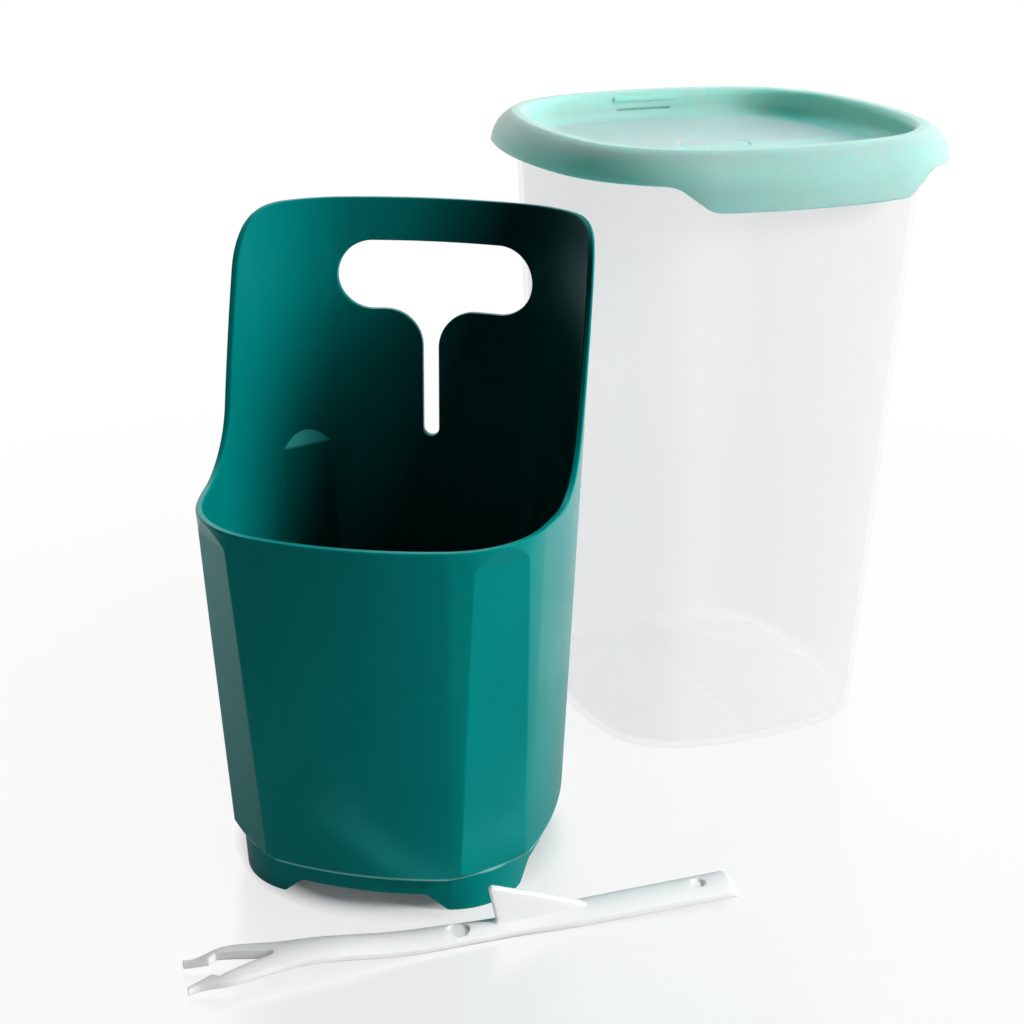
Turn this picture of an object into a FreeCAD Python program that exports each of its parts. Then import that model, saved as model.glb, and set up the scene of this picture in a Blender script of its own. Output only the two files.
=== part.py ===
import FreeCAD, Part
import math
import os
from FreeCAD import Vector

# Sizes are in mm. The row frame has its origin at the centre of the container's base, +Z up.
# The basket's sides run along X and Y; the container and its lid are turned about Z beside it.

# Shared plan shape: a square with bowed sides, every outline an even offset of the same one
SIDE_CENTRE = 66.5      # side arcs are centred this far beyond the axis
CORNER_CENTRE = 21.0    # corner arcs are centred this far along both axes
DRAFT = 0.0473          # half width gained per mm of height

# Container
CAN_TURN = 31.6         # degrees about Z
CAN_BASE_HALF = 53.0
CORE_SHARE = 0.6        # share of the base half width filled by a plain plate
CAN_HEIGHT = 206.0
CAN_WALL = 1.8
CAN_FLOOR = 2.2
CAN_FOOT_RADIUS = 4.0
CAN_INNER_RADIUS = 3.5
BEAD_OUT = 1.3          # snap bead round the mouth
BEAD_HEIGHT = 3.0
BEAD_BELOW_RIM = 0.8
BEAD_EDGE = 0.4
RIM_RADIUS = 0.5

# Lid; depths and drops are measured down from its top
LID_WALL = 1.6
LID_GAP = 0.3           # lid to container, on the plug, over the rim and outside the bead
RIDGE_RISE = 2.1        # top of the ridge above the channel that takes the rim
RIDGE_SLOPE = 27.0      # degrees, outer side of the ridge
RIDGE_RADIUS = 2.6
CREST_RADIUS = 1.5
CREST_IN = 0.5          # crest of the ridge, inside the snap ring's bore
SKIRT_OUT = 7.1         # skirt face beyond the bead
SKIRT_SHOULDER = 12.0
SKIRT_DEPTH = 9.7
SKIRT_EDGE = 0.5
SNAP_RING_DEPTH = 7.4
DISH_DEPTH = 9.4
DISH_RADIUS = 4.2
TAB_DEPTH = 17.6
TAB_SHIFT = 1.3         # middle of the tab along the lid's side
TAB_TOP_HALF = 43.9
TAB_BOTTOM_HALF = 33.3
TAB_TOP_RADIUS = 9.0
TAB_BOTTOM_RADIUS = 8.0
MARK_DIA = 24.8         # ring of plain ticks in the dish
MARK_WIDTH = 0.9
MARK_DEPTH = 0.5
TICK_COUNT = 24
TICK_GAP = 1.2          # ring to ticks
TICK_LENGTH = 1.8
TICK_WIDTH = 0.6
BAR_WIDTH = 23.0        # raised bar high on the dish wall
BAR_HEIGHT = 1.7
BAR_OUT = 0.7
BAR_DROP = 3.4          # to its lower edge
GROOVE_WIDTH = 21.0     # thin groove below the bar
GROOVE_HEIGHT = 0.9
GROOVE_DEPTH = 0.5
GROOVE_DROP = 6.8       # to its lower edge

# Lift basket; it stands beside the container and is sized to stand inside it
BASKET_X = -78.9
BASKET_Y = -121.0
BASKET_GAP = 2.5        # basket wall to container wall when it stands inside
BASKET_HEADROOM = 5.0   # basket top to the underside of the lid when it stands inside
BASKET_WALL = 2.2
BASKET_STEP = 12.0      # underside of the body, above the foot ring
BASKET_FLOOR = 2.0
BASKET_BACK = 72.6      # top of the back above the front rim
FOOT_INSET = 2.8
STEP_ROUND = 52.9       # radius of the turned underside at its corners
STEP_FLARE = 0.7        # radius gained per mm of height above the underside
STEP_EDGE = 0.5
SWEEP_Y = 1.7           # where the rising rim line would leave the front rim level
SWEEP_ANGLE = 71.2
SWEEP_LOW_RADIUS = 25.0
SWEEP_TOP_RADIUS = 24.5
RIM_EDGE = 0.6
FACET_CUT_LOW = 2.52    # depth of the corner flats at the step
FACET_CUT_HIGH = 1.28   # and at the foot of the ledge
FACET_EDGE = 1.5
FACET_HALF_MIN = 4.0    # the flats are wider than twice this all the way up
LEDGE_DROP = 5.6        # foot of the ledge below the front rim
LEDGE_RISE = 4.4
LEDGE_OUT = 1.4
LEDGE_BLEND = 6.0
HOLE_WIDTH = 62.6
HOLE_HEIGHT = 21.8
HOLE_DROP = 24.3        # centre of the hand hole below the basket's top
HOLE_EDGE = 0.4
SLOT_WIDTH = 5.2
SLOT_OFFSET = -2.2
SLOT_LENGTH = 41.1      # below the hand hole
SLOT_BLEND = 12.0
NOTCH_BOTTOM_HALF = 25.2
NOTCH_TOP_HALF = 19.2
NOTCH_HEIGHT = 5.5
NOTCH_RADIUS = 3.0
NOTCH_LIP = 1.5         # round where its sides meet the foot
DRAIN_DIA = 5.0
DRAIN_PITCH = 14.0
DRAIN_ROWS = 5

# Fork; places along it are measured from the tine tips
FORK_X = -116.0         # where the tine tips meet the fork's centre line
FORK_Y = -213.7
FORK_TURN = 28.1
FORK_LENGTH = 162.0
FORK_STATIONS = 19      # sections lofted along it
FORK_SIDE = 1.8         # height of its upright edges behind the tines
TIP_WIDTH = 14.6
TIP_THICK = 2.4
TIP_SIDE = 1.8
TIP_RISE = 1.5
TINE_WIDTH = 15.4
TINE_THICK = 2.9
TINE_SIDE = 2.0
TINE_RISE = 3.1
NECK_WIDTH = 10.2
NECK_RISE = 3.5
NECK_BEHIND = 7.0       # behind the root of the tines
STEM_AT = 64.4
STEM_WIDTH = 9.8
STEM_RISE = 0.4
WAIST_WIDTH = 8.2
WAIST_THICK = 3.4
WAIST_RISE = 0.04
TAIL_WIDTH = 10.4
TAIL_THICK = 3.8
TAIL_SIDE = 2.2
TAIL_RISE = 0.5
END_WIDTH = 11.6
END_THICK = 3.6
END_RISE = 1.8
END_EDGE = 1.2
TINE_LENGTH = 24.5
TINE_ROOT = 1.2
TINE_INSIDE = 5.3
TINE_END = 1.7          # width of each tine at its tip
BARB_AT = 6.9
BARB_IN = 1.5
BARB_BACK = 2.0
BARB_POINT = 0.2        # round of each barb's point
GAP_RADIUS = 0.5        # round of the other corners of the gap
FIN_FRONT = 89.3
FIN_LEAN = 2.9
FIN_TOP = 16.3
FIN_THICK = 2.2
FIN_POINT = 1.0         # round of its point
FIN_EDGE = 0.7
FIN_ROOT = 0.9          # hollow round where it meets the strip
FIN_SHOULDER = 13.4     # from its front to the bend in its back
FIN_SHOULDER_TOP = 10.3
FIN_TAIL = 11.8         # from the bend to its tail
FIN_TAIL_TOP = 5.6
FIN_TAIL_ROUND = 3.0
FIN_END_SLOPE = 5.0     # from the tail's top to its foot
DIMPLE_DEPTH = 0.9
FRONT_DIMPLE_AHEAD = 11.5
FRONT_DIMPLE_DIA = 6.4
END_DIMPLE_BACK = 10.4  # from the end of the fork
END_DIMPLE_DIA = 4.2

BEYOND = 40.0           # cutters reach this far past what they cut


def offset_at(base, z):
    return base + DRAFT * z


def lid_top():
    return CAN_HEIGHT + LID_GAP + RIDGE_RISE


def basket_top():
    return lid_top() - DISH_DEPTH - LID_WALL - BASKET_HEADROOM - CAN_FLOOR


def basket_rim():
    return basket_top() - BASKET_BACK


def rounded(points, place):
    """Closed wire through (u, v, radius) corners; place turns u, v into a point."""
    edges = []
    ends = []
    n = len(points)
    for i in range(n):
        u, v, r = points[i]
        pu, pv = points[i - 1][:2]
        qu, qv = points[(i + 1) % n][:2]
        a = Vector(pu - u, pv - v, 0).normalize()
        b = Vector(qu - u, qv - v, 0).normalize()
        corner = Vector(u, v, 0)
        if r <= 0:
            ends.append((corner, None, corner))
            continue
        half = a.getAngle(b) / 2
        back = r / math.tan(half)
        mid = (a + b).normalize()
        reach = r / math.sin(half) - r
        ends.append((corner + a * back, corner + mid * reach, corner + b * back))
    for i in range(n):
        start, middle, stop = ends[i]
        if middle is not None:
            p = [place(q.x, q.y) for q in (start, middle, stop)]
            edges.append(Part.Arc(p[0], p[1], p[2]).toShape())
        nxt = ends[(i + 1) % n][0]
        if stop.distanceToPoint(nxt) > 1e-6:
            edges.append(Part.makeLine(place(stop.x, stop.y), place(nxt.x, nxt.y)))
    return Part.Wire(edges)


def prism(points, place, along):
    return Part.Face(rounded(points, place)).extrude(along)


def flat(u, v):
    return Vector(u, v, 0)


def upright(u, v):
    return Vector(u, 0, v)


def corner_reach():
    return math.hypot(CORNER_CENTRE + SIDE_CENTRE, CORNER_CENTRE)


def tangent_angle():
    return math.degrees(math.atan2(CORNER_CENTRE, CORNER_CENTRE + SIDE_CENTRE))


def corner_at(half):
    """Distance of the round corner from the axis, where the sides are at this half width."""
    return half + SIDE_CENTRE - corner_reach() + CORNER_CENTRE * math.sqrt(2)


def polar(radius, degrees):
    t = math.radians(degrees)
    return Vector(radius * math.cos(t), radius * math.sin(t), 0)


def plan_wire(half, z):
    """Outline of the shared plan at one height, as eight tangent arcs."""
    side = half + SIDE_CENTRE
    corner = side - corner_reach()
    t = tangent_angle()
    edges = []
    for k in range(4):
        turn = 90 * k
        centre = polar(-SIDE_CENTRE, turn) + Vector(0, 0, z)
        p = [centre + polar(side, turn + a) for a in (-t, 0, t)]
        edges.append(Part.Arc(p[0], p[1], p[2]).toShape())
        centre = polar(CORNER_CENTRE * math.sqrt(2), turn + 45) + Vector(0, 0, z)
        p = [centre + polar(corner, turn + a) for a in (t, 45, 90 - t)]
        edges.append(Part.Arc(p[0], p[1], p[2]).toShape())
    return Part.Wire(edges)


def tapered(low_half, low_z, high_half, high_z):
    return Part.makeLoft([plan_wire(low_half, low_z), plan_wire(high_half, high_z)], True, True)


def plate(half, z, thick):
    return Part.Face(plan_wire(half, z)).extrude(Vector(0, 0, thick))


def swept(profile):
    """Carry a profile of (half width, z, radius) corners round the shared plan."""
    t = tangent_angle()
    pieces = []
    for k in range(4):
        turn = 90 * k
        for shift, centre, start, sweep in (
                (SIDE_CENTRE, polar(-SIDE_CENTRE, turn), turn - t, 2 * t),
                (SIDE_CENTRE - corner_reach(), polar(CORNER_CENTRE * math.sqrt(2), turn + 45),
                 turn + t, 90 - 2 * t)):
            face = Part.Face(rounded([(a + shift, z, r) for a, z, r in profile], upright))
            face.rotate(Vector(0, 0, 0), Vector(0, 0, 1), start)
            solid = face.revolve(Vector(0, 0, 0), Vector(0, 0, 1), sweep)
            solid.translate(centre)
            pieces.append(solid)
    return pieces[0].fuse(pieces[1:]).removeSplitter()


def turned(shape, degrees):
    out = shape.copy()
    out.rotate(Vector(0, 0, 0), Vector(0, 0, 1), degrees)
    return out


# Container: tapered walls, rounded foot, snap bead round the mouth
def container():
    core = CAN_BASE_HALF * CORE_SHARE
    bead_top = CAN_HEIGHT - BEAD_BELOW_RIM
    bead_low = bead_top - BEAD_HEIGHT
    bead = offset_at(CAN_BASE_HALF, CAN_HEIGHT) + BEAD_OUT
    profile = [
        (core, 0, 0),
        (CAN_BASE_HALF, 0, CAN_FOOT_RADIUS),
        (offset_at(CAN_BASE_HALF, bead_low), bead_low, 0),
        (bead, bead_low + BEAD_OUT, BEAD_EDGE),
        (bead, bead_top, BEAD_EDGE),
        (offset_at(CAN_BASE_HALF, bead_top), bead_top, 0),
        (offset_at(CAN_BASE_HALF, CAN_HEIGHT), CAN_HEIGHT, RIM_RADIUS),
        (offset_at(CAN_BASE_HALF, CAN_HEIGHT) - CAN_WALL, CAN_HEIGHT, RIM_RADIUS),
        (offset_at(CAN_BASE_HALF, CAN_FLOOR) - CAN_WALL, CAN_FLOOR, CAN_INNER_RADIUS),
        (core, CAN_FLOOR, 0),
    ]
    body = swept(profile).fuse(plate(core, 0, CAN_FLOOR)).removeSplitter()
    return turned(body, CAN_TURN)


# Lid: dish that plugs the mouth, ridge over the rim, outer skirt with the lift tab
def lid():
    core = CAN_BASE_HALF * CORE_SHARE
    rim_out = offset_at(CAN_BASE_HALF, CAN_HEIGHT)
    bead = rim_out + BEAD_OUT
    plug = rim_out - CAN_WALL - LID_GAP
    dish = plug - LID_WALL
    ceiling = CAN_HEIGHT + LID_GAP
    top = lid_top()
    floor = top - DISH_DEPTH
    dish_low = dish - DRAFT * DISH_DEPTH
    plug_low = plug - DRAFT * (ceiling - floor + LID_WALL)
    tab_bottom = top - TAB_DEPTH
    ring_bottom = top - SNAP_RING_DEPTH
    skirt = bead + SKIRT_OUT
    snap = bead + LID_GAP
    slope = math.radians(RIDGE_SLOPE)
    crest = snap - CREST_IN
    shoulder = top - (skirt - crest) * math.tan(slope)
    inner_low = shoulder - LID_WALL / math.cos(slope) + LID_WALL * math.tan(slope)
    pocket_top = inner_low + (skirt - snap - 2 * LID_WALL) * math.tan(slope)
    profile = [
        (core, floor, 0),
        (dish_low, floor, DISH_RADIUS),
        (dish, top, RIDGE_RADIUS),
        (crest, top, CREST_RADIUS),
        (skirt, shoulder, SKIRT_SHOULDER),
        (skirt, tab_bottom, SKIRT_EDGE),
        (skirt - LID_WALL, tab_bottom, SKIRT_EDGE),
        (skirt - LID_WALL, inner_low, SKIRT_SHOULDER - LID_WALL),
        (snap + LID_WALL, pocket_top, 0),
        (snap + LID_WALL, ring_bottom, LID_GAP),
        (snap, ring_bottom, LID_GAP),
        (snap, ceiling, LID_GAP),
        (plug, ceiling, LID_GAP),
        (plug_low, floor - LID_WALL, DISH_RADIUS + LID_WALL),
        (core, floor - LID_WALL, 0),
    ]
    body = swept(profile).fuse(plate(core, floor - LID_WALL, LID_WALL)).removeSplitter()
    body = body.cut(skirt_trim(skirt))
    body = body.cut(dish_mark(floor))
    low = top - GROOVE_DROP
    body = body.cut(wall_strip(GROOVE_WIDTH, GROOVE_HEIGHT, low, dish - BEYOND, dish + GROOVE_DEPTH))
    bar = wall_strip(BAR_WIDTH, BAR_HEIGHT, top - BAR_DROP, dish - BAR_OUT, dish + LID_WALL / 2)
    body = body.fuse(bar).removeSplitter()
    return turned(body, CAN_TURN)


def wall_strip(width, height, bottom, inner, outer):
    """Upright strip on the +Y side of the dish, between two offsets of the plan."""
    strip = Part.makeBox(width, outer, height, Vector(-width / 2, 0, bottom))
    strip = strip.common(plate(outer, bottom, height))
    return strip.cut(plate(inner, bottom, height))


def skirt_trim(skirt):
    """Everything below the skirt edge except the tab on the -Y side."""
    edge = lid_top() - SKIRT_DEPTH
    bottom = lid_top() - TAB_DEPTH
    far = skirt + BEYOND
    box = Part.makeBox(2 * far, 2 * far, edge - bottom + BEYOND, Vector(-far, -far, bottom - BEYOND))
    points = [
        (TAB_SHIFT - TAB_BOTTOM_HALF, bottom, TAB_BOTTOM_RADIUS),
        (TAB_SHIFT + TAB_BOTTOM_HALF, bottom, TAB_BOTTOM_RADIUS),
        (TAB_SHIFT + TAB_TOP_HALF, edge, TAB_TOP_RADIUS),
        (2 * far, edge, 0),
        (2 * far, edge + BEYOND, 0),
        (-2 * far, edge + BEYOND, 0),
        (-2 * far, edge, 0),
        (TAB_SHIFT - TAB_TOP_HALF, edge, TAB_TOP_RADIUS),
    ]
    keep = prism(points, upright, Vector(0, -2 * far, 0))
    return box.cut(keep)


def dish_mark(floor):
    bottom = floor - MARK_DEPTH
    radius = MARK_DIA / 2
    outer = Part.makeCylinder(radius, BEYOND, Vector(0, 0, bottom))
    inner = Part.makeCylinder(radius - MARK_WIDTH, BEYOND, Vector(0, 0, bottom))
    cuts = [outer.cut(inner)]
    start = radius - MARK_WIDTH - TICK_GAP - TICK_LENGTH
    for i in range(TICK_COUNT):
        tick = Part.makeBox(TICK_LENGTH, TICK_WIDTH, BEYOND, Vector(start, -TICK_WIDTH / 2, bottom))
        cuts.append(turned(tick, 360 / TICK_COUNT * i))
    return Part.makeCompound(cuts)


# Lift basket: tall back with the hand hole, low front, corner flats, strainer floor on a foot ring
def basket_half(z):
    """Outside half width, kept a fixed gap inside the container it stands in."""
    return offset_at(CAN_BASE_HALF, z + CAN_FLOOR) - CAN_WALL - BASKET_GAP


def facet_line():
    """Distance of the corner flats from the axis at the step and at the ledge, and the ledge's height."""
    ledge = basket_rim() - LEDGE_DROP
    step_at = corner_at(basket_half(BASKET_STEP)) - FACET_CUT_LOW
    ledge_at = corner_at(basket_half(ledge)) - FACET_CUT_HIGH
    return step_at, ledge_at, ledge


def beside_facet(point):
    """True on the two long edges of a corner flat."""
    step_at, ledge_at, ledge = facet_line()
    flat_at = step_at + (ledge_at - step_at) * (point.z - BASKET_STEP) / (ledge - BASKET_STEP)
    out = (abs(point.x) + abs(point.y)) / math.sqrt(2)
    along = abs(abs(point.x) - abs(point.y)) / math.sqrt(2)
    return abs(out - flat_at) < 0.01 and along > FACET_HALF_MIN and point.z > BASKET_STEP + STEP_EDGE


def facet_wedge(inward, turn):
    """Corner cutter: the flat, then the ledge that leads back out to the round corner."""
    step_at, ledge_at, ledge = facet_line()
    step_at -= inward
    ledge_at -= inward
    slope = (ledge_at - step_at) / (ledge - BASKET_STEP)
    steep = LEDGE_RISE / LEDGE_OUT
    out = LEDGE_OUT + BASKET_WALL + BASKET_GAP
    points = [
        (step_at - BASKET_STEP * slope, 0, 0),
        (ledge_at, ledge, LEDGE_BLEND),
        (ledge_at + out, ledge + steep * out, 0),
        (ledge_at + BEYOND, ledge + steep * out, 0),
        (ledge_at + BEYOND, 0, 0),
    ]
    wedge = prism(points, upright, Vector(0, 2 * BEYOND, 0))
    wedge.translate(Vector(0, -BEYOND, 0))
    return turned(wedge, turn)


def faceted(shape, inward):
    for k in range(4):
        shape = shape.cut(facet_wedge(inward, 45 + 90 * k))
    return shape


def sweep_line():
    """Points of the rim line seen from the side: where each bend starts and stops, as (y, z)."""
    angle = math.radians(SWEEP_ANGLE)
    top_y = SWEEP_Y + BASKET_BACK / math.tan(angle)
    low_back = SWEEP_LOW_RADIUS * math.tan(angle / 2)
    top_back = SWEEP_TOP_RADIUS * math.tan(angle / 2)
    low_stop = SWEEP_Y - low_back + SWEEP_LOW_RADIUS * math.sin(angle)
    top_start = top_y + top_back - SWEEP_TOP_RADIUS * math.sin(angle)
    return SWEEP_Y - low_back, low_stop, top_start, top_y + top_back


def rim_cut():
    """Region above the rim line, seen from the side and carried across X."""
    top_y = SWEEP_Y + BASKET_BACK / math.tan(math.radians(SWEEP_ANGLE))
    far = basket_half(basket_top()) + BEYOND
    low = basket_rim()
    top = basket_top()
    points = [
        (-far, low, 0),
        (SWEEP_Y, low, SWEEP_LOW_RADIUS),
        (top_y, top, SWEEP_TOP_RADIUS),
        (far, top, 0),
        (far, top + BEYOND, 0),
        (-far, top + BEYOND, 0),
    ]
    shape = prism(points, lambda u, v: Vector(0, u, v), Vector(2 * far, 0, 0))
    shape.translate(Vector(-far, 0, 0))
    return shape


def on_rim(point):
    """True for a point on the rim surface left by the rim cut."""
    low_start, low_stop, top_start, top_stop = sweep_line()
    y = point.y
    low = basket_rim()
    top = basket_top()
    if y <= low_start:
        z = low
    elif y < low_stop:
        z = low + SWEEP_LOW_RADIUS - math.sqrt(SWEEP_LOW_RADIUS ** 2 - (y - low_start) ** 2)
    elif y <= top_start:
        z = low + (y - SWEEP_Y) * math.tan(math.radians(SWEEP_ANGLE))
    elif y < top_stop:
        z = top - SWEEP_TOP_RADIUS + math.sqrt(SWEEP_TOP_RADIUS ** 2 - (top_stop - y) ** 2)
    else:
        z = top
    return abs(point.z - z) < 0.02


def hole_points():
    """Long finger hole with the fork slot running down from it, as (x, z, radius) corners."""
    half = HOLE_WIDTH / 2
    end = HOLE_HEIGHT / 2 - 0.01
    low = basket_top() - HOLE_DROP - HOLE_HEIGHT / 2
    high = low + HOLE_HEIGHT
    left = SLOT_OFFSET - SLOT_WIDTH / 2
    right = SLOT_OFFSET + SLOT_WIDTH / 2
    tip = SLOT_WIDTH / 2 - 0.01
    return [
        (-half, low, end),
        (left, low, SLOT_BLEND),
        (left, low - SLOT_LENGTH, tip),
        (right, low - SLOT_LENGTH, tip),
        (right, low, SLOT_BLEND),
        (half, low, end),
        (half, high, end),
        (-half, high, end),
    ]


def hand_hole(shell):
    """Cut the hand hole and its slot through the back wall and round their edges."""
    points = hole_points()
    reach = basket_half(basket_top()) + BEYOND
    shell = shell.cut(prism(points, upright, Vector(0, reach, 0)))
    outline = rounded(points, upright)

    def on_outline(point):
        return outline.distToShape(Part.Vertex(point.x, 0, point.z))[0] < 0.02 and point.y > 0

    return soften(shell, [e for e in shell.Edges if edge_is(e, on_outline)], HOLE_EDGE)


def notch_cutter():
    reach = basket_half(0) + BEYOND
    points = [
        (-reach, -NOTCH_HEIGHT, 0),
        (reach, -NOTCH_HEIGHT, 0),
        (reach, 0, 0),
        (NOTCH_BOTTOM_HALF, 0, NOTCH_LIP),
        (NOTCH_TOP_HALF, NOTCH_HEIGHT, NOTCH_RADIUS),
        (-NOTCH_TOP_HALF, NOTCH_HEIGHT, NOTCH_RADIUS),
        (-NOTCH_BOTTOM_HALF, 0, NOTCH_LIP),
        (-reach, 0, 0),
    ]
    cutter = prism(points, upright, Vector(0, 2 * reach, 0))
    cutter.translate(Vector(0, -reach, 0))
    return cutter


def foot_ring():
    half = basket_half(0) - FOOT_INSET
    top = BASKET_STEP + BASKET_FLOOR / 2
    ring = tapered(half, 0, offset_at(half, top), top)
    low = -BASKET_FLOOR
    high = top + BASKET_FLOOR
    hollow = tapered(offset_at(half, low) - BASKET_WALL, low, offset_at(half, high) - BASKET_WALL, high)
    cutter = notch_cutter()
    return ring.cut(hollow).cut(cutter).cut(turned(cutter, 90))


def drains():
    first = -(DRAIN_ROWS - 1) / 2
    holes = []
    for i in range(DRAIN_ROWS):
        for j in range(DRAIN_ROWS):
            spot = Vector((first + i) * DRAIN_PITCH, (first + j) * DRAIN_PITCH, BASKET_STEP - BASKET_FLOOR)
            holes.append(Part.makeCylinder(DRAIN_DIA / 2, 3 * BASKET_FLOOR, spot))
    return Part.makeCompound(holes)


def lift_basket():
    high = basket_top() + BASKET_WALL
    outer = faceted(tapered(basket_half(BASKET_STEP), BASKET_STEP, basket_half(high), high), 0)
    outer = soften(outer, [e for e in outer.Edges if edge_is(e, beside_facet)], FACET_EDGE)
    outer = soften(outer, [e for e in outer.Edges if edge_is(e, at_step)], STEP_EDGE)
    outer = outer.common(flare(high - BASKET_STEP))
    floor_top = BASKET_STEP + BASKET_FLOOR
    over = high + BASKET_WALL
    inner = tapered(basket_half(floor_top) - BASKET_WALL, floor_top, basket_half(over) - BASKET_WALL, over)
    inner = faceted(inner, BASKET_WALL)
    shell = outer.cut(inner).cut(rim_cut())
    shell = soften(shell, [e for e in shell.Edges if edge_is(e, on_rim)], RIM_EDGE)
    shell = hand_hole(shell)
    body = shell.fuse(foot_ring()).removeSplitter().cut(drains())
    body.translate(Vector(BASKET_X, BASKET_Y, 0))
    return body


def flare(height):
    """Cone that turns the corners of the body's underside round."""
    wide = STEP_ROUND + STEP_FLARE * height
    return Part.makeCone(STEP_ROUND, wide, height, Vector(0, 0, BASKET_STEP))


def at_step(point):
    return abs(point.z - BASKET_STEP) < 0.01


def edge_is(edge, test):
    a, b = edge.ParameterRange
    return all(test(edge.valueAt(a + (b - a) * f)) for f in (0.05, 0.35, 0.65, 0.95))


def soften(shape, edges, radius):
    return shape.makeFillet(radius, edges) if edges else shape


# Fork: arched strip with two barbed tines, a hanging fin and two dimples
def fork_section(at, width, thick, rise, side):
    half = width / 2
    low = Vector(at, -half, rise)
    p = [low, low + Vector(0, 0, side), Vector(at, 0, rise + thick),
         Vector(at, half, rise + side), Vector(at, half, rise)]
    edges = [
        Part.makeLine(p[0], p[1]),
        Part.Arc(p[1], p[2], p[3]).toShape(),
        Part.makeLine(p[3], p[4]),
        Part.makeLine(p[4], p[0]),
    ]
    return Part.Wire(edges)


def smooth(table, column, at):
    """Value of one column of a station table at any point along the fork, without overshoot."""
    x = [row[0] for row in table]
    y = [row[column] for row in table]
    n = len(x)
    rate = [(y[i + 1] - y[i]) / (x[i + 1] - x[i]) for i in range(n - 1)]
    slope = [0.0]
    for i in range(1, n - 1):
        same = rate[i - 1] * rate[i] > 0
        slope.append(2 * rate[i - 1] * rate[i] / (rate[i - 1] + rate[i]) if same else 0.0)
    slope.append(rate[-1])
    i = max(k for k in range(n - 1) if x[k] <= at + 1e-9)
    h = x[i + 1] - x[i]
    t = (at - x[i]) / h
    return ((1 + 2 * t) * (1 - t) ** 2 * y[i] + t * (1 - t) ** 2 * h * slope[i]
            + t * t * (3 - 2 * t) * y[i + 1] + t * t * (t - 1) * h * slope[i + 1])


def fork_table():
    """Stations along the fork: distance from the tips, width, thickness, rise, height of its edges."""
    return [
        (0, TIP_WIDTH, TIP_THICK, TIP_RISE, TIP_SIDE),
        (TINE_LENGTH / 2, TINE_WIDTH, TINE_THICK, TINE_RISE, TINE_SIDE),
        (TINE_LENGTH + NECK_BEHIND, NECK_WIDTH, TINE_THICK, NECK_RISE, FORK_SIDE),
        (STEM_AT, STEM_WIDTH, WAIST_THICK, STEM_RISE, FORK_SIDE),
        (FIN_FRONT, WAIST_WIDTH, WAIST_THICK, WAIST_RISE, FORK_SIDE),
        (FIN_FRONT + FIN_SHOULDER + FIN_TAIL, TAIL_WIDTH, TAIL_THICK, TAIL_RISE, TAIL_SIDE),
        (FORK_LENGTH, END_WIDTH, END_THICK, END_RISE, FORK_SIDE),
    ]


def fork():
    table = fork_table()
    steps = FORK_STATIONS - 1
    stations = [FORK_LENGTH * i / steps for i in range(FORK_STATIONS)]
    sections = [fork_section(at, *[smooth(table, c, at) for c in (1, 2, 3, 4)]) for at in stations]
    body = Part.makeLoft(sections, True, False)
    body = body.fuse(fin()).removeSplitter()
    body = soften(body, [e for e in body.Edges if edge_is(e, at_fin_root)], FIN_ROOT)
    body = soften(body, [e for e in body.Edges if edge_is(e, on_end_top)], END_EDGE)
    body = body.cut(tine_gap())
    body = body.cut(dimple(FIN_FRONT - FRONT_DIMPLE_AHEAD, FRONT_DIMPLE_DIA))
    body = body.cut(dimple(FORK_LENGTH - END_DIMPLE_BACK, END_DIMPLE_DIA))
    body = turned(body, FORK_TURN)
    body.translate(Vector(FORK_X, FORK_Y, 0))
    return body


def tine_gap():
    """The open V between the tines with its two barbs, and the slanted tip ends."""
    barb = TINE_INSIDE - BARB_IN
    tip = TIP_WIDTH / 2 - TINE_END
    points = [
        (TINE_LENGTH, -TINE_ROOT / 2, GAP_RADIUS),
        (TINE_LENGTH, TINE_ROOT / 2, GAP_RADIUS),
        (BARB_AT + BARB_BACK, TINE_INSIDE, GAP_RADIUS),
        (BARB_AT, barb, BARB_POINT),
        (0, tip, 0),
        (-2 * TINE_END, TINE_WIDTH, 0),
        (-2 * TINE_END, -TINE_WIDTH, 0),
        (0, -tip, 0),
        (BARB_AT, -barb, BARB_POINT),
        (BARB_AT + BARB_BACK, -TINE_INSIDE, GAP_RADIUS),
    ]
    return prism(points, flat, Vector(0, 0, BEYOND))


def fin():
    """Thin upright fin whose leaning front edge hooks over the foot of the basket's slot."""
    base = FORK_SIDE
    bend = FIN_FRONT + FIN_SHOULDER
    end = bend + FIN_TAIL
    points = [
        (FIN_FRONT, base, 0),
        (FIN_FRONT - FIN_LEAN, FIN_TOP, FIN_POINT),
        (bend, FIN_SHOULDER_TOP, 0),
        (end, FIN_TAIL_TOP, FIN_TAIL_ROUND),
        (end + FIN_END_SLOPE, base, 0),
    ]
    shape = prism(points, upright, Vector(0, FIN_THICK, 0))
    shape.translate(Vector(0, -FIN_THICK / 2, 0))
    return soften(shape, [e for e in shape.Edges if edge_is(e, on_fin_rim)], FIN_EDGE)


def at_fin_root(point):
    on_side = abs(abs(point.y) - FIN_THICK / 2) < 0.02
    return on_side and point.x > FIN_FRONT - 1 and FORK_SIDE < point.z < TAIL_THICK + 2 * FIN_ROOT


def on_end_top(point):
    return abs(point.x - FORK_LENGTH) < 0.01 and point.z > END_RISE + FORK_SIDE


def on_fin_rim(point):
    return point.z > FORK_SIDE + 0.01 and abs(abs(point.y) - FIN_THICK / 2) < 0.01


def dimple(at, dia):
    table = fork_table()
    crown = smooth(table, 2, at) + smooth(table, 3, at)
    return Part.makeCylinder(dia / 2, BEYOND, Vector(at, 0, crown - DIMPLE_DEPTH))


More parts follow.
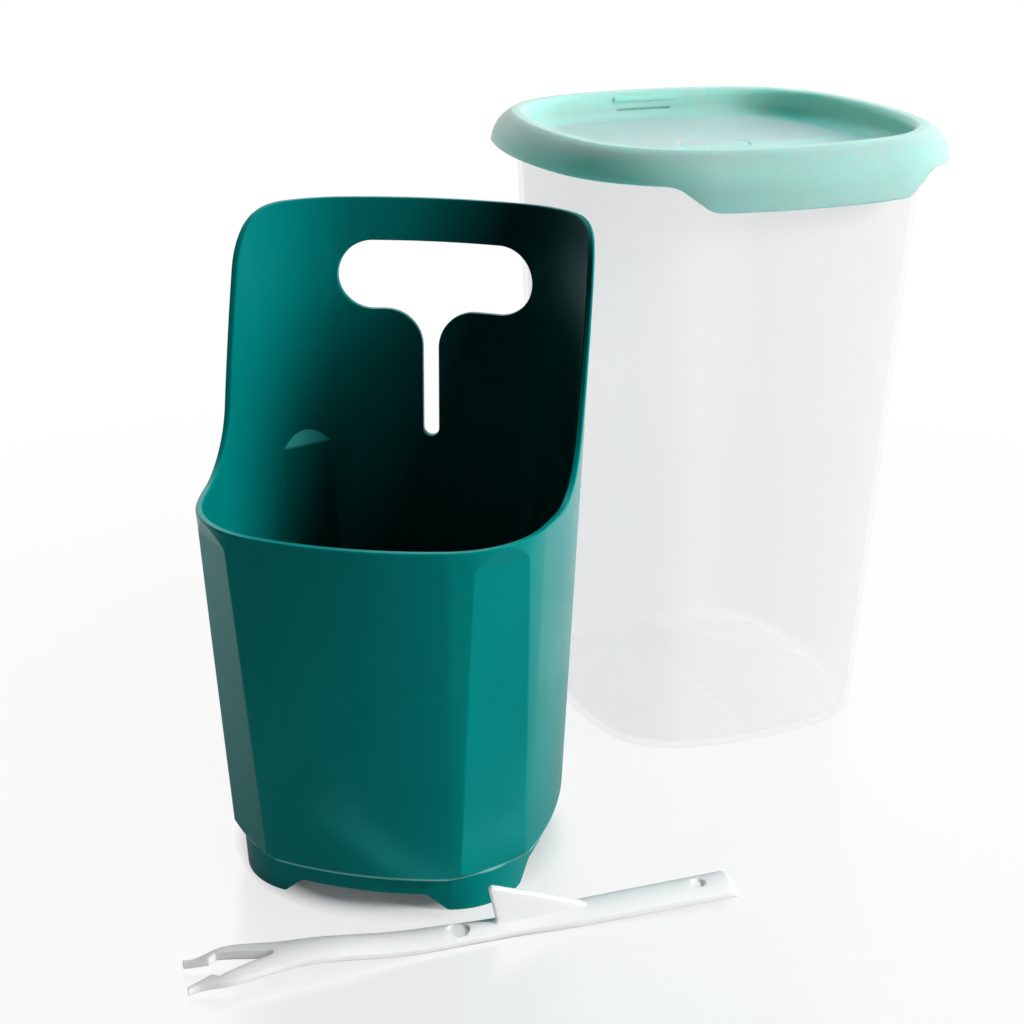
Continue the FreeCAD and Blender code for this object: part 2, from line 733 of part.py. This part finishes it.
def main():
    os.makedirs("parts", exist_ok=True)
    pieces = {
        "container": container(),
        "lid": lid(),
        "lift_basket": lift_basket(),
        "fork": fork(),
    }
    for name, shape in pieces.items():
        solid = shape.Solids[0] if len(shape.Solids) == 1 else shape
        print(name, len(shape.Solids), shape.isValid(), round(shape.Volume / 1000, 1), shape.BoundBox)
        solid.exportStep("parts/" + name + ".step")


main()
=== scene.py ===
import math

import bpy
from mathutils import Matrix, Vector

# Camera, solved from the photograph: its place in the shared frame in metres, its aim in degrees
CAMERA_AT = (0.0533, -0.5818, 0.2977)
CAMERA_PITCH = -21.69
CAMERA_AZIMUTH = 11.83
CAMERA_ROLL = 0.06
LENS_MM = 60.76
SENSOR_MM = 36.0

# Looks of the four pieces. Colours are linear, lengths in metres.
TEAL = (0.000, 0.230, 0.217)
TEAL_DEEP = (0.000, 0.198, 0.188)
TEAL_GLOSS = (0.06, 0.9, 0.87, 1.0)
TEAL_ROUGH = 0.26
TEAL_IOR = 1.85
TEAL_GRAIN = 0.00008
MINT = (0.430, 0.745, 0.650)
MINT_DEEP = (0.395, 0.710, 0.615)
MINT_GLOSS = (0.1, 0.95, 0.85, 1.0)
MINT_ROUGH = 0.40
MINT_IOR = 1.70
MINT_COAT = 0.5
MINT_COAT_ROUGH = 0.20
MINT_GRAIN = 0.00004
MINT_DEPTH = (0.0010, 0.0080, 0.0066)     # how far light spreads inside
WHITE_PLASTIC = (0.950, 0.942, 0.948)
WHITE_SHADE = (0.925, 0.918, 0.926)
WHITE_ROUGH = 0.42
WHITE_GRAIN = 0.00003
WHITE_DEPTH = (0.0020, 0.0020, 0.0021)
CLEAR_TINT = (0.808, 0.788, 0.818)
CLEAR_SHADE = (0.788, 0.770, 0.801)
CLEAR_ROUGH = 0.30
CLEAR_ALPHA = 0.10
CLEAR_GRAIN = 0.00002

# Painted highlight line above the basket's foot, a pale line where the step catches light: half its
# height where it is full, and where it has faded out
STEP_HIGHLIGHT = (0.250, 0.600, 0.580)
STEP_HEIGHT = 0.0122
STEP_FULL = 0.0003
STEP_GONE = 0.0008

# Painted shade over the basket's inside, which darkens along one direction, to its right and bottom
TEAL_INSIDE = (0.000, 0.183, 0.173)
TEAL_SHADED = (0.000, 0.016, 0.015)
INSIDE_ROUGH = 0.60
INSIDE_FADE = -0.02                       # how far round its edges the inside blends in
SHADED_WAY = (1.0, 0.0, -0.36)
SHADED_FROM = -0.155
SHADED_TO = -0.122

# Painted light on the head of the inside's left corner flat: lighter where it tilts up, and only
# below the rim
TEAL_PAINTED_LEDGE_LIGHT = (0.070, 0.640, 0.620)
LEVEL_TILT = 0.12
LEDGE_TILT = 0.30
LEDGE_FROM = -0.130
LEDGE_TO = -0.090
LEDGE_TOP = 0.1166
RIM_EDGE = 0.1172

# Skin of all plastics: a slow flow tone, fine specks of grain, and scuffs that change the gloss
FLOW_SCALE = 34
FLOW_DETAIL = 3
FLOW_STRETCH = (1, 1, 0.6)
FLOW_SHARE = 0.75
COARSE_GRAIN = 1500
FINE_GRAIN = 3000
GRAIN_DETAIL = 2
GRAIN_STRENGTH = 0.35
SPECK_SHARE = 0.25
SPECK_FROM = 0.25
SPECK_TO = 0.75
SCUFF_SCALE = 150
SCUFF_DETAIL = 5
SCUFF_STRETCH = (1, 1, 0.7)
SCUFF_SWING = 0.012

# Floor: its light and its mirror change with the distance from the basket, the container or the
# middle of the sheet
BASKET_STANDS = (-0.0789, -0.1210, 0.0)
CONTAINER_STANDS = (0.0, 0.0, 0.0)
SHEET_MIDDLE = (-0.04, -0.12, 0.0)
FLOOR_BOUNCE = 0.72       # how much light the sheet throws back up, and the floor past its edge
FLOOR_BEYOND = 0.10
SHEET_EDGE = 0.25
SHEET_END = 0.60
FLOOR_CONTACT = 0.02      # share of the floor's white that shadows don't reach, under the basket
FLOOR_LIFT = 0.88         # and around it
CONTACT_FROM = 0.045
CONTACT_TO = 0.054
FLOOR_NEAR = 0.10         # distances over which that share grows to all of it
FLOOR_FAR = 0.25
FLOOR_MIRROR = 0.18       # mirror near the pieces, and the distances over which it fades out
MIRROR_NEAR = 0.22
MIRROR_FAR = 0.50
FLOOR_ROUGH = 0.25
FLOOR_HALF = 8.0

# What reflections find: the studio is bright behind the pieces and dark on the camera's side
BRIGHT_WAY = (-0.10, 0.99, 0.0)
FLOOR_DARK_TO = -0.19
FLOOR_BRIGHT_FROM = 0.13
SKY_DARK_TO = 0.00
SKY_BRIGHT_FROM = 0.70
WORLD_FILL = 0.01

# Lamps, all aimed at one place
AIM = (-0.03, -0.06, 0.09)
KEY_AT = (1.66, -0.20, 1.03)
KEY_SIZE = 0.8
KEY_POWER = 54.0
BACK_AT = (-0.10, 0.90, 1.30)
BACK_SIZE = 1.0
BACK_POWER = 13.0
FILL_AT = (-0.60, -1.00, 0.45)
FILL_SIZE = 0.9
FILL_POWER = 1.6


def tree_for(name):
    material = bpy.data.materials.new(name)
    material.use_nodes = True
    tree = material.node_tree
    tree.nodes.clear()
    return material, tree


def node(tree, kind, **values):
    made = tree.nodes.new(kind)
    for key, value in values.items():
        setattr(made, key, value)
    return made


def noise(tree, coords, scale, detail, stretch=(1, 1, 1)):
    mapping = node(tree, "ShaderNodeMapping")
    mapping.inputs["Scale"].default_value = stretch
    tree.links.new(coords, mapping.inputs["Vector"])
    texture = node(tree, "ShaderNodeTexNoise")
    texture.inputs["Scale"].default_value = scale
    texture.inputs["Detail"].default_value = detail
    tree.links.new(mapping.outputs["Vector"], texture.inputs["Vector"])
    return texture.outputs["Fac"]


def spread(tree, value, low, high, start=0.35, stop=0.65):
    """Low up to start, high from stop on, and a straight ramp between."""
    remap = node(tree, "ShaderNodeMapRange")
    ends = {"From Min": start, "From Max": stop, "To Min": low, "To Max": high}
    for socket, number in ends.items():
        remap.inputs[socket].default_value = number
    tree.links.new(value, remap.inputs["Value"])
    return remap.outputs["Result"]


def mixed_colour(tree, factor, first, second):
    """Blend two colours, each either written out or taken from another node."""
    mix = node(tree, "ShaderNodeMix", data_type="RGBA")
    for name, colour in (("A", first), ("B", second)):
        socket = [s for s in mix.inputs if s.name == name and s.type == "RGBA"][0]
        if isinstance(colour, tuple):
            socket.default_value = (*colour, 1)
        else:
            tree.links.new(colour, socket)
    tree.links.new(factor, mix.inputs["Factor"])
    return [s for s in mix.outputs if s.type == "RGBA"][0]


def calculated(tree, operation, first, second):
    step = node(tree, "ShaderNodeMath", operation=operation)
    for socket, value in zip(step.inputs, (first, second)):
        if isinstance(value, (int, float)):
            socket.default_value = value
        else:
            tree.links.new(value, socket)
    return step.outputs["Value"]


def height_of(tree, vector):
    """Height of a place, or how far a direction tilts up."""
    split = node(tree, "ShaderNodeSeparateXYZ")
    tree.links.new(vector, split.inputs["Vector"])
    return split.outputs["Z"]


def along(tree, vector, way):
    """How far a place or direction reaches along another direction."""
    reach = node(tree, "ShaderNodeVectorMath", operation="DOT_PRODUCT")
    tree.links.new(vector, reach.inputs[0])
    reach.inputs[1].default_value = way
    return reach.outputs["Value"]


def distance_from(tree, vector, place):
    away = node(tree, "ShaderNodeVectorMath", operation="DISTANCE")
    tree.links.new(vector, away.inputs[0])
    away.inputs[1].default_value = place
    return away.outputs["Value"]


def facing_axis(tree, place, normal, axis):
    """1 on surfaces that face an upright axis, as the basket's inside does, and 0 on the others."""
    out = node(tree, "ShaderNodeVectorMath", operation="SUBTRACT")
    tree.links.new(place, out.inputs[0])
    out.inputs[1].default_value = axis
    level = node(tree, "ShaderNodeVectorMath", operation="MULTIPLY")
    tree.links.new(out.outputs["Vector"], level.inputs[0])
    level.inputs[1].default_value = (1, 1, 0)
    facing = node(tree, "ShaderNodeVectorMath", operation="DOT_PRODUCT")
    tree.links.new(level.outputs["Vector"], facing.inputs[0])
    tree.links.new(normal, facing.inputs[1])
    return spread(tree, facing.outputs["Value"], 1, 0, INSIDE_FADE, 0)


def at_height(tree, place, height):
    """1 on a thin level line."""
    off = calculated(tree, "SUBTRACT", height_of(tree, place), height)
    return spread(tree, calculated(tree, "ABSOLUTE", off, 0), 1, 0, STEP_FULL, STEP_GONE)


def basket_painted_light(tree, place, normal, skin):
    """The basket's painted highlight line above its foot and painted shade and light on its inside,
    over its plain skin, and where that inside is.
    """
    within = facing_axis(tree, place, normal, BASKET_STANDS)
    # painted highlight: a thin pale line at the step above the foot
    skin = mixed_colour(tree, at_height(tree, place, STEP_HEIGHT), skin, STEP_HIGHLIGHT)
    across = along(tree, place, SHADED_WAY)
    shaded = spread(tree, across, 0, 1, SHADED_FROM, SHADED_TO)
    # painted shade: the inside darkens to its right and bottom
    painted_inside_shade_and_light = mixed_colour(tree, shaded, TEAL_INSIDE, TEAL_SHADED)
    tilt = spread(tree, height_of(tree, normal), 0, 1, LEVEL_TILT, LEDGE_TILT)
    lit = spread(tree, across, 1, 0, LEDGE_FROM, LEDGE_TO)
    below_rim = spread(tree, height_of(tree, place), 1, 0, LEDGE_TOP, RIM_EDGE)
    painted_ledge_light = calculated(tree, "MULTIPLY", calculated(tree, "MULTIPLY", tilt, lit), below_rim)
    # painted light on the upward-tilted head of the inside's left corner flat
    painted_inside_shade_and_light = mixed_colour(tree, painted_ledge_light, painted_inside_shade_and_light, TEAL_PAINTED_LEDGE_LIGHT)
    return mixed_colour(tree, within, skin, painted_inside_shade_and_light), within


def moulded_plastic(name, colour, shade, rough, grain_scale, grain_depth, with_painted_light=False, **settings):
    """Injection-moulded plastic: slight flow tone, fine grain, scuffs that change the gloss."""
    material, tree = tree_for(name)
    shader = node(tree, "ShaderNodeBsdfPrincipled")
    coords = node(tree, "ShaderNodeTexCoord")
    place = coords.outputs["Object"]
    flow = noise(tree, place, FLOW_SCALE, FLOW_DETAIL, FLOW_STRETCH)
    grain = noise(tree, place, grain_scale, GRAIN_DETAIL)
    scuffs = noise(tree, place, SCUFF_SCALE, SCUFF_DETAIL, SCUFF_STRETCH)
    speck = spread(tree, grain, 0, SPECK_SHARE, SPECK_FROM, SPECK_TO)
    tone = calculated(tree, "ADD", spread(tree, flow, 0, FLOW_SHARE), speck)
    skin = mixed_colour(tree, tone, colour, shade)
    gloss = spread(tree, scuffs, rough - SCUFF_SWING, rough + SCUFF_SWING)
    # On the basket: a painted highlight line, painted shade over the inside and painted light on
    # its inside ledge
    if with_painted_light:
        skin, within = basket_painted_light(tree, place, coords.outputs["Normal"], skin)
        rougher = calculated(tree, "MULTIPLY", within, INSIDE_ROUGH - rough)
        gloss = calculated(tree, "ADD", gloss, rougher)
    tree.links.new(skin, shader.inputs["Base Color"])
    tree.links.new(gloss, shader.inputs["Roughness"])
    bump = node(tree, "ShaderNodeBump")
    bump.inputs["Strength"].default_value = GRAIN_STRENGTH
    bump.inputs["Distance"].default_value = grain_depth
    tree.links.new(grain, bump.inputs["Height"])
    tree.links.new(bump.outputs["Normal"], shader.inputs["Normal"])
    for socket, value in settings.items():
        shader.inputs[socket.replace("_", " ")].default_value = value
    output = node(tree, "ShaderNodeOutputMaterial")
    tree.links.new(shader.outputs["BSDF"], output.inputs["Surface"])
    return material


def dress(name, material):
    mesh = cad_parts[name].data
    mesh.materials.clear()
    mesh.materials.append(material)


def bright_side(tree, vector, start, stop):
    """From 0 on the camera's side of the studio to 1 at its back, as reflections see it."""
    return spread(tree, along(tree, vector, BRIGHT_WAY), 0, 1, start, stop)


def by_ray(tree, surface, looks):
    """Show each kind of ray its own shader in place of the surface; the last kind wins."""
    path = node(tree, "ShaderNodeLightPath")
    for ray, shader in looks:
        mix = node(tree, "ShaderNodeMixShader")
        tree.links.new(path.outputs[ray], mix.inputs["Fac"])
        tree.links.new(surface, mix.inputs[1])
        tree.links.new(shader, mix.inputs[2])
        surface = mix.outputs["Shader"]
    return surface


def floor_material():
    """Pale floor: near white to the eye, with shadows and a faint mirror of what stands on it."""
    material, tree = tree_for("pale_floor")
    place = node(tree, "ShaderNodeTexCoord").outputs["Object"]
    from_basket = distance_from(tree, place, BASKET_STANDS)
    from_container = distance_from(tree, place, CONTAINER_STANDS)
    from_middle = distance_from(tree, place, SHEET_MIDDLE)
    shaded = node(tree, "ShaderNodeBsdfDiffuse")
    shaded.inputs["Color"].default_value = (1, 1, 1, 1)
    white = node(tree, "ShaderNodeEmission")
    lift = spread(tree, from_basket, FLOOR_CONTACT, FLOOR_LIFT, CONTACT_FROM, CONTACT_TO)
    reach = spread(tree, from_container, 0, 1 - FLOOR_LIFT, FLOOR_NEAR, FLOOR_FAR)
    paper = node(tree, "ShaderNodeMixShader")
    tree.links.new(calculated(tree, "ADD", lift, reach), paper.inputs["Fac"])
    tree.links.new(shaded.outputs["BSDF"], paper.inputs[1])
    tree.links.new(white.outputs["Emission"], paper.inputs[2])
    mirror = node(tree, "ShaderNodeBsdfGlossy")
    mirror.inputs["Roughness"].default_value = FLOOR_ROUGH
    polish = spread(tree, from_middle, FLOOR_MIRROR, 0, MIRROR_NEAR, MIRROR_FAR)
    seen = node(tree, "ShaderNodeMixShader")
    tree.links.new(polish, seen.inputs["Fac"])
    tree.links.new(paper.outputs["Shader"], seen.inputs[1])
    tree.links.new(mirror.outputs["BSDF"], seen.inputs[2])
    mirrored = node(tree, "ShaderNodeEmission")
    glow = bright_side(tree, place, FLOOR_DARK_TO, FLOOR_BRIGHT_FROM)
    tree.links.new(glow, mirrored.inputs["Strength"])
    bounce = node(tree, "ShaderNodeBsdfDiffuse")
    thrown_back = spread(tree, from_middle, FLOOR_BOUNCE, FLOOR_BEYOND, SHEET_EDGE, SHEET_END)
    tree.links.new(thrown_back, bounce.inputs["Color"])
    surface = by_ray(tree, bounce.outputs["BSDF"], (
        ("Is Glossy Ray", mirrored.outputs["Emission"]),
        ("Is Transmission Ray", seen.outputs["Shader"]),
        ("Is Camera Ray", seen.outputs["Shader"])))
    output = node(tree, "ShaderNodeOutputMaterial")
    tree.links.new(surface, output.inputs["Surface"])
    return material


def make_floor():
    mesh = bpy.data.meshes.new("floor")
    h = FLOOR_HALF
    mesh.from_pydata([(-h, -h, 0), (h, -h, 0), (h, h, 0), (-h, h, 0)], [], [(0, 1, 2, 3)])
    floor = bpy.data.objects.new("floor", mesh)
    bpy.context.scene.collection.objects.link(floor)
    mesh.materials.append(floor_material())


def make_world():
    """White to the eye, dark towards the camera in reflections, faint as a light."""
    world = bpy.data.worlds.new("studio")
    bpy.context.scene.world = world
    world.use_nodes = True
    tree = world.node_tree
    tree.nodes.clear()
    fill, white, mirrored = (node(tree, "ShaderNodeBackground") for _ in range(3))
    for shade in (fill, white, mirrored):
        shade.inputs["Color"].default_value = (1, 1, 1, 1)
    fill.inputs["Strength"].default_value = WORLD_FILL
    direction = node(tree, "ShaderNodeTexCoord").outputs["Generated"]
    glow = bright_side(tree, direction, SKY_DARK_TO, SKY_BRIGHT_FROM)
    tree.links.new(glow, mirrored.inputs["Strength"])
    surface = by_ray(tree, fill.outputs["Background"], (
        ("Is Glossy Ray", mirrored.outputs["Background"]),
        ("Is Transmission Ray", white.outputs["Background"]),
        ("Is Camera Ray", white.outputs["Background"])))
    output = node(tree, "ShaderNodeOutputWorld")
    tree.links.new(surface, output.inputs["Surface"])


def aim(thing, target):
    direction = Vector(target) - thing.location
    thing.rotation_euler = direction.to_track_quat("-Z", "Y").to_euler()


def soft_box(name, at, target, size, power):
    lamp = bpy.data.lights.new(name, "AREA")
    lamp.size = size
    lamp.energy = power
    thing = bpy.data.objects.new(name, lamp)
    thing.location = at
    thing.visible_glossy = False
    thing.visible_camera = False
    bpy.context.scene.collection.objects.link(thing)
    aim(thing, target)


def make_camera():
    camera = bpy.data.cameras.new("camera")
    camera.lens = LENS_MM
    camera.sensor_width = SENSOR_MM
    thing = bpy.data.objects.new("camera", camera)
    thing.location = CAMERA_AT
    turns = (90 + CAMERA_PITCH, CAMERA_ROLL, CAMERA_AZIMUTH)
    thing.rotation_euler = [math.radians(turn) for turn in turns]
    bpy.context.scene.collection.objects.link(thing)
    bpy.context.scene.camera = thing


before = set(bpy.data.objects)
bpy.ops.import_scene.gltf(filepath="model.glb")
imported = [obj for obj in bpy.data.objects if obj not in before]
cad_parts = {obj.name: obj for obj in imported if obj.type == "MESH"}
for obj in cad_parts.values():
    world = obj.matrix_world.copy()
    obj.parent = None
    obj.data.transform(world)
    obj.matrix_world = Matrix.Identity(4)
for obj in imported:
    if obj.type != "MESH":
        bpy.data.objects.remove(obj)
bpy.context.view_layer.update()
bpy.context.scene.view_settings.view_transform = "Standard"
make_camera()
make_world()
make_floor()
soft_box("key", KEY_AT, AIM, KEY_SIZE, KEY_POWER)
soft_box("back", BACK_AT, AIM, BACK_SIZE, BACK_POWER)
soft_box("fill", FILL_AT, AIM, FILL_SIZE, FILL_POWER)

# The basket carries painted light: a highlight line above its foot, shade over its inside, light on
# its inside ledge
dress("lift_basket", moulded_plastic(
    "teal_plastic", TEAL, TEAL_DEEP, TEAL_ROUGH, COARSE_GRAIN, TEAL_GRAIN, with_painted_light=True,
    IOR=TEAL_IOR, Specular_Tint=TEAL_GLOSS))
dress("lid", moulded_plastic(
    "mint_plastic", MINT, MINT_DEEP, MINT_ROUGH, FINE_GRAIN, MINT_GRAIN,
    IOR=MINT_IOR, Specular_Tint=MINT_GLOSS, Coat_Weight=MINT_COAT, Coat_Roughness=MINT_COAT_ROUGH,
    Subsurface_Weight=1.0, Subsurface_Radius=MINT_DEPTH, Subsurface_Scale=1.0))
dress("fork", moulded_plastic(
    "white_plastic", WHITE_PLASTIC, WHITE_SHADE, WHITE_ROUGH, FINE_GRAIN, WHITE_GRAIN,
    Subsurface_Weight=1.0, Subsurface_Radius=WHITE_DEPTH, Subsurface_Scale=1.0))
dress("container", moulded_plastic(
    "clear_plastic", CLEAR_TINT, CLEAR_SHADE, CLEAR_ROUGH, FINE_GRAIN, CLEAR_GRAIN,
    Alpha=CLEAR_ALPHA))
